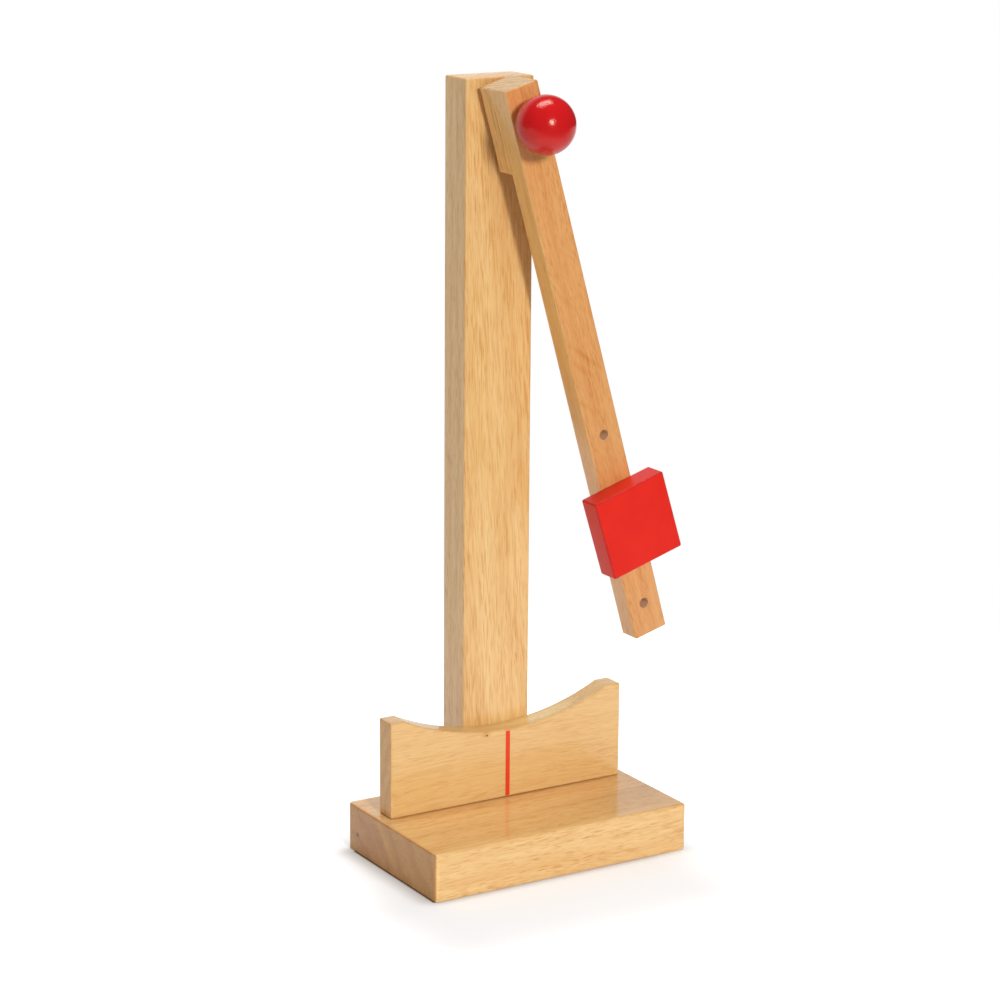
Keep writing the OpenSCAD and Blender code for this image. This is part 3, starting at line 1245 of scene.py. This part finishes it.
@dataclass
class Pendulum(SubAssembly):
    """Arm with its peg holes, and the pivot block behind its upper end."""

    body: str = "pendulum"
    arm_half: float = 13.0 * MM
    arm_above: float = 25.0 * MM
    arm_below: float = 380.0 * MM
    block_below: float = 35.0 * MM
    edge: float = 1.0 * MM
    back_edge: float = 0.3 * MM
    peg_r: float = 3.58 * MM
    hole_pitch: float = 65.0 * MM  # from one peg hole to the next

    def build(self) -> None:
        """Build and dress all of the pendulum."""
        self.settle(self.arm(), "pendulum_arm", "arm_wood", self.arm_wood())
        self.settle(self.block(), "pivot_block", "arm_wood", self.block_wood())

    def turn(self) -> Matrix:
        """Turn about the pivot from hanging to where the pendulum stands."""
        return self.swung() @ self.pivot().inverted()

    def bar(self, front: float, back: float, below: float) -> Solid:
        """Square-edged bar on the pivot, hanging straight.

        Args:
            front: Y of its front.
            back: Y of its back.
            below: its length below the pivot.

        Returns:
            The bar.
        """
        solid = Solid()
        low = Vector((-self.arm_half, front, self.pivot_height - below))
        high = Vector((self.arm_half, back, self.pivot_height + self.arm_above))
        solid.block(low, high)
        return solid

    def hole(self, down: float, radius: float) -> Hole:
        """Hole through the bar at a distance down from the pivot."""
        return Hole(Vector((0.0, 0.0, self.pivot_height - down)), radius, Bore.THROUGH)

    def arm(self) -> Piece:
        """Arm with the pivot's hole and its peg holes.

        Returns:
            The arm.
        """
        low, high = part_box("pendulum_arm")
        solid = self.bar(low.y, high.y, self.arm_below)
        solid.round_edges(solid.edges_off(Axis.Y, high.y), self.edge)
        solid.round_edges(solid.rim(Axis.Y, high.y), self.back_edge)
        pegs = [self.peg_down + step * self.hole_pitch for step in (-1, 0, 1)]
        holes = [self.hole(0.0, self.axle_bore), *(self.hole(down, self.peg_r) for down in pegs)]
        solid.drill(Side.FRONT, holes)
        return solid.piece("arm_wood_bar", self.turn())

    def block(self) -> Piece:
        """Block behind the arm's upper end, square-edged where it is glued to the arm.

        Returns:
            The block.
        """
        low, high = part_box("pivot_block")
        solid = self.bar(low.y, high.y, self.block_below)
        solid.round_edges(solid.edges_off(Axis.Y, low.y), self.edge)
        solid.drill(Side.FRONT, [self.hole(0.0, self.axle_bore)])
        return solid.piece("block_wood_bar", self.turn())

    def arm_wood(self) -> WoodFinish:
        """Finish of the arm.

        Returns:
            The finish, with the curls of the arm's grain.
        """
        slope = (Axis.Y, -36.0)
        curls = (
            Mark((47.0, -8.0, 347.3), (23.0, 6.0, 3.0), (0.92, 0.80, 0.64), 0.05, slope),
            Mark((43.5, -8.0, 339.5), (19.0, 6.0, 3.2), (0.96, 0.89, 0.79), 0.05, slope),
            Mark((44.5, -8.0, 315.3), (15.0, 6.0, 3.0), (0.96, 0.88, 0.78), 0.05, slope),
            Mark((31.0, -8.0, 386.5), (15.0, 6.0, 3.0), (0.97, 0.90, 0.80), 0.05, slope),
        )
        return WoodFinish(
            "arm_lacquered_wood",
            ARM_TONE,
            GrainWay.ALONG_ARM,
            seed=705.0,
            heart=(-110.0, 6.0),
            ring=10.0,
            ring_depth=0.25,
            streak_depth=0.4,
            fleck_depth=0.7,
            fleck_length=7.0,
            pore_depth=0.5,
            coat=0.6,
            # painted light: the arm's top and sides are made paler and cooler
            end_tone_and_sheen=(0.84, 1.16, 1.52),
            side_sheen_tint=(1.24, 1.50, 1.50),
            marks=curls,
        )

    def block_wood(self) -> WoodFinish:
        """Finish of the pivot block.

        Returns:
            The finish, with the dark lines on the block's left side.
        """
        along = (Axis.Y, self.swing)
        lines = (
            Mark((-12.0, 11.6, 506.0), (8.0, 0.9, 26.0), (0.50, 0.38, 0.27), 0.1, along),
            Mark((-13.0, 16.4, 511.0), (8.0, 1.1, 20.0), (0.60, 0.48, 0.36), 0.1, along),
        )
        return WoodFinish(
            "block_lacquered_wood",
            ARM_TONE,
            GrainWay.ALONG_ARM,
            seed=-2210.0,
            heart=(-90.0, 4.0),
            ring=5.0,
            ring_depth=0.4,
            streak_depth=0.8,
            pore_depth=0.8,
            coat=0.6,
            # painted light: the block's top and sides are made paler and cooler
            end_tone_and_sheen=(0.90, 1.28, 1.74),
            side_sheen_tint=(1.27, 1.63, 1.95),
            end_rings=0.9,
            marks=lines,
        )


@dataclass
class Bob(SubAssembly):
    """Red bob with the peg that plugs into the arm."""

    body: str = "bob"
    peg_turn: float = 1.5  # degrees by which the bob is turned on its peg
    half: float = 29.0 * MM
    edge: float = 1.4 * MM
    peg_r: float = 3.5 * MM
    peg_hole: float = 3.53 * MM
    peg_depth: float = 13.0 * MM
    peg_chamfer: float = 0.1 * MM
    peg_ease: float = 0.9 * MM

    def build(self) -> None:
        """Build and dress all of the bob."""
        self.settle(self.block(), "bob_block", "bob_paint", self.paint())
        self.settle(self.peg(), "bob_peg", "dowel_wood", dowel_wood("peg_sanded_dowel", -60.0))

    @property
    def height(self) -> float:
        """Height of the bob's middle when it hangs."""
        return self.pivot_height - self.peg_down

    def turn(self) -> Matrix:
        """Turn on the peg and then about the pivot.

        Returns:
            The turn from hanging to where the bob stands.
        """
        peg = Matrix.Translation((0.0, 0.0, -self.peg_down))
        on_peg = Matrix.Rotation(math.radians(-self.peg_turn), 4, "Y")
        return self.swung() @ peg @ on_peg @ (self.pivot() @ peg).inverted()

    def block(self) -> Piece:
        """Square block with soft edges and the peg's hole in its back.

        Returns:
            The block.
        """
        low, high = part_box("bob_block")
        solid = Solid()
        lowest = Vector((-self.half, low.y, self.height - self.half))
        highest = Vector((self.half, high.y, self.height + self.half))
        solid.rounded_block(lowest, highest, self.edge)
        at = Vector((0.0, 0.0, self.height))
        solid.drill(Side.BACK, [Hole(at, self.peg_hole, Bore.BLIND, self.peg_depth, self.peg_chamfer)])
        return solid.piece("bob_red_block", self.turn())

    def peg(self) -> Piece:
        """Dowel with eased ends.

        Returns:
            The peg.
        """
        low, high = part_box("bob_peg")
        solid = Solid()
        solid.dowel((low.y, high.y), self.height, self.peg_r, self.peg_ease)
        return solid.piece("bob_dowel", self.turn())

    def paint(self) -> PaintFinish:
        """Satin paint of the bob."""
        return PaintFinish(
            "bob_red_paint",
            (0.735, 0.012, 0.005),
            rough=0.36,
            peel=0.5,
            peel_size=3.0,
            # painted shade as well as wear: the bob's edges are darkened
            edge_wear_and_shade_tone=(0.36, 0.008, 0.010),
            wear_depth=0.55,
            gloss=0.32,
            grain=0.25,
            way=GrainWay.ALONG_ARM,
        )


def direction(azimuth: float, height: float) -> Vector:
    """Direction from the object.

    Args:
        azimuth: degrees to the right of the front.
        height: degrees above the horizon.

    Returns:
        The direction as a unit vector.
    """
    turn, lift = math.radians(azimuth), math.radians(height)
    flat = math.cos(lift)
    return Vector((math.sin(turn) * flat, -math.cos(turn) * flat, math.sin(lift)))


@dataclass(frozen=True)
class Patch:
    """A soft-edged rectangle on the floor. Sizes are in metres."""

    middle: tuple[float, float]
    half: tuple[float, float]  # half its width and depth
    reach: tuple[float, float]  # from its edge, where it starts to end and where it has ended

    def outside(self, tree: Tree, flat: Socket) -> Num:
        """Tell places outside from places inside.

        Args:
            tree: the floor's tree.
            flat: the place on the floor.

        Returns:
            0 inside, 1 outside.
        """
        aside = tree.vector("ABSOLUTE", tree.vector("SUBTRACT", flat, (*self.middle, 0.0)))
        past = tree.vector("SUBTRACT", aside, (*self.half, 0.0))
        return tree.length(tree.vector("MAXIMUM", past, BLACK)).ramp(*self.reach)


@dataclass(frozen=True)
class Lamp:
    """An area lamp that faces the object."""

    name: str
    shape: LampShape
    azimuth: float  # degrees to the right of the front
    height: float  # degrees above the horizon
    distance: float  # m
    size: tuple[float, float]  # m across and along
    level: float  # share of a colour that it alone shows on a face turned to it

    def place(self, aim: Vector) -> None:
        """Put the lamp in the scene.

        Args:
            aim: the point that it faces.
        """
        way = direction(self.azimuth, self.height)
        data = bpy.data.lights.new(self.name, "AREA")
        data.shape = self.shape.value
        data.size, data.size_y = self.size
        data.energy = self.level * math.pi**2 * self.distance**2
        made = bpy.data.objects.new(self.name, data)
        made.location = aim + way * self.distance
        made.rotation_euler = way.to_track_quat("Z", "Y").to_euler()
        bpy.context.scene.collection.objects.link(made)


@dataclass
class Studio:
    """Floor, surroundings, lamps and camera."""

    floor_size: float = 8.0
    floor_drop: float = 0.3 * MM
    floor_tone: float = 0.85
    contact_lift: float = 0.155  # share of white that the floor shows by itself, against the base
    floor_lift: float = 0.58  # the same, away from the base
    footing: Patch = Patch((-0.015, 0.0), (0.085, 0.05), (0.0, 0.05))  # shade against the base
    apron: Patch = Patch((-0.025, -0.095), (0.085, 0.025), (0.0, 0.1))  # shade in front of it
    contact_shadow: Patch = Patch((-0.015, 0.0), (0.085, 0.05), (0.0, 0.018))  # painted contact shadow: darker floor against the base
    contact_shadow_tone: Colour = (0.52, 0.49, 0.46)
    slit_shadow: Patch = Patch((-0.0995, -0.003), (0.0012, 0.055), (0.0, 0.0018))  # painted shadow line on the floor under the left end
    slit_shadow_tone: Colour = (0.25, 0.14, 0.07)
    fade: tuple[float, float] = (0.42, 0.75)  # m from the middle, where the floor turns white
    gloom: float = 0.06  # what a reflection sees in front of the object
    gloom_floor: tuple[float, float] = (-1.2, -0.2)  # m, where the floor in front turns dark
    gloom_sky: tuple[float, float] = (0.55, 0.85)  # the same for the surroundings, by direction
    sky: float = 0.3  # light of the surroundings on matt surfaces
    key: Lamp = Lamp("key_lamp", LampShape.ROUND, -8.0, 20.0, 4.7, (0.8, 0.8), 0.65)
    top: Lamp = Lamp("top_lamp", LampShape.OBLONG, 180.0, 84.0, 1.5, (0.9, 0.45), 0.57)
    aim: Point = (0.0, 0.0, 0.27)
    azimuth: float = -31.337
    elevation: float = 14.057
    roll: float = 0.428
    distance: float = 2092.9 * MM
    rise: float = 244.3 * MM
    slide: float = 11.9 * MM
    lens: float = 107.4
    sensor: float = 36.0

    def build(self) -> None:
        """Set up everything round the object."""
        bpy.context.scene.view_settings.view_transform = "Standard"
        self.floor()
        self.surroundings()
        for lamp in (self.key, self.top):
            lamp.place(Vector(self.aim))
        self.camera()

    def floor(self) -> None:
        """Pale floor that keeps the shadow and turns white further out."""
        bm = bmesh.new()
        level = Matrix.Translation((0.0, 0.0, -self.floor_drop))
        bmesh.ops.create_grid(bm, x_segments=1, y_segments=1, size=self.floor_size / 2, matrix=level)
        mesh = bpy.data.meshes.new("floor")
        bm.to_mesh(mesh)
        bm.free()
        made = bpy.data.objects.new("floor", mesh)
        bpy.context.scene.collection.objects.link(made)
        mesh.materials.append(self.floor_material())

    def floor_material(self) -> Material:
        """Build the floor's material.

        Returns:
            The material.
        """
        made = bpy.data.materials.new("studio_floor")
        tree = Tree(made)
        camera, mirrored = self.looks(tree)
        flat = tree.vector("MULTIPLY", tree.coordinate("Object"), (1.0, 1.0, 0.0))
        away = tree.length(flat).ramp(*self.fade)
        # painted shadow line under the base's left end, which also takes away the floor's glow there
        clear = self.slit_shadow.outside(tree, flat)
        open_floor = self.footing.outside(tree, flat) * self.apron.outside(tree, flat)
        lift = (self.contact_lift + open_floor * (self.floor_lift - self.contact_lift)) * clear
        # painted contact shadow: the floor's tone is darkened against the base
        tone = tree.mix(self.contact_shadow.outside(tree, flat), self.contact_shadow_tone, (self.floor_tone,) * 3)
        tone = tree.mix(clear, self.slit_shadow_tone, tone)
        seen = camera.at_least(mirrored)
        matt = tree.node("ShaderNodeBsdfDiffuse", None, {"Color": tone})
        glow = tree.node("ShaderNodeEmission", None, {"Color": tree.mix(seen * lift, BLACK, WHITE)})
        near = tree.node("ShaderNodeAddShader", None, {0: matt.outputs[0], 1: glow.outputs[0]})
        plain = tree.mix(camera.at_least(self.shade(tree, flat, self.gloom_floor)), BLACK, WHITE)
        far = tree.node("ShaderNodeEmission", None, {"Color": plain})
        sockets = {0: seen * away, 1: near.outputs[0], 2: far.outputs[0]}
        both = tree.node("ShaderNodeMixShader", None, sockets)
        tree.node("ShaderNodeOutputMaterial", None, {"Surface": both.outputs[0]})
        return made

    def looks(self, tree: Tree) -> tuple[Num, Num]:
        """Find the rays that look at the studio.

        Args:
            tree: the tree that asks.

        Returns:
            1 for a ray from the camera, and 1 for a ray from a reflection or through glass.
        """
        path = tree.node("ShaderNodeLightPath")
        mirrored = tree.num(path, "Is Glossy Ray").at_least(tree.num(path, "Is Transmission Ray"))
        return tree.num(path, "Is Camera Ray"), mirrored

    def shade(self, tree: Tree, place: Socket, span: tuple[float, float]) -> Num:
        """Find how bright a reflection shows a place or direction, by the Y where the dark ends."""
        return self.gloom + tree.part(place, Axis.Y).ramp(*span) * (1.0 - self.gloom)

    def surroundings(self) -> None:
        """White to look at, darker in front in reflections, and a softer light on matt surfaces."""
        world = bpy.data.worlds.new("studio")
        bpy.context.scene.world = world
        tree = Tree(world)
        camera, mirrored = self.looks(tree)
        dim = self.shade(tree, tree.coordinate("Object"), self.gloom_sky)
        strength = self.sky + camera * (1.0 - self.sky) + mirrored * (dim - self.sky)
        backdrop = tree.node("ShaderNodeBackground", None, {"Color": WHITE, "Strength": strength})
        tree.node("ShaderNodeOutputWorld", None, {"Surface": backdrop.outputs[0]})

    def camera(self) -> None:
        """Put the camera where the photograph was taken from."""
        back = direction(self.azimuth, self.elevation)
        side = (-back).cross(Vector((0.0, 0.0, 1.0))).normalized()
        up = side.cross(-back)
        tilt = math.radians(self.roll)
        right = math.cos(tilt) * side + math.sin(tilt) * up
        top = math.cos(tilt) * up - math.sin(tilt) * side
        data = bpy.data.cameras.new("photo_camera")
        data.lens = self.lens
        data.sensor_width = self.sensor
        made = bpy.data.objects.new("photo_camera", data)
        place = self.distance * back + self.rise * top - self.slide * right
        turn = Matrix((right, top, back)).transposed().to_4x4()
        made.matrix_world = Matrix.Translation(place) @ turn
        bpy.context.scene.collection.objects.link(made)
        bpy.context.scene.camera = made


def main() -> None:
    """Build the studio and the object's sub-assemblies in order."""
    logging.basicConfig(level=logging.INFO, format="%(message)s")
    Studio().build()
    for part in (Stand(), Pivot(), Pendulum(), Bob()):
        part.build()


if __name__ == "__main__":
    main()
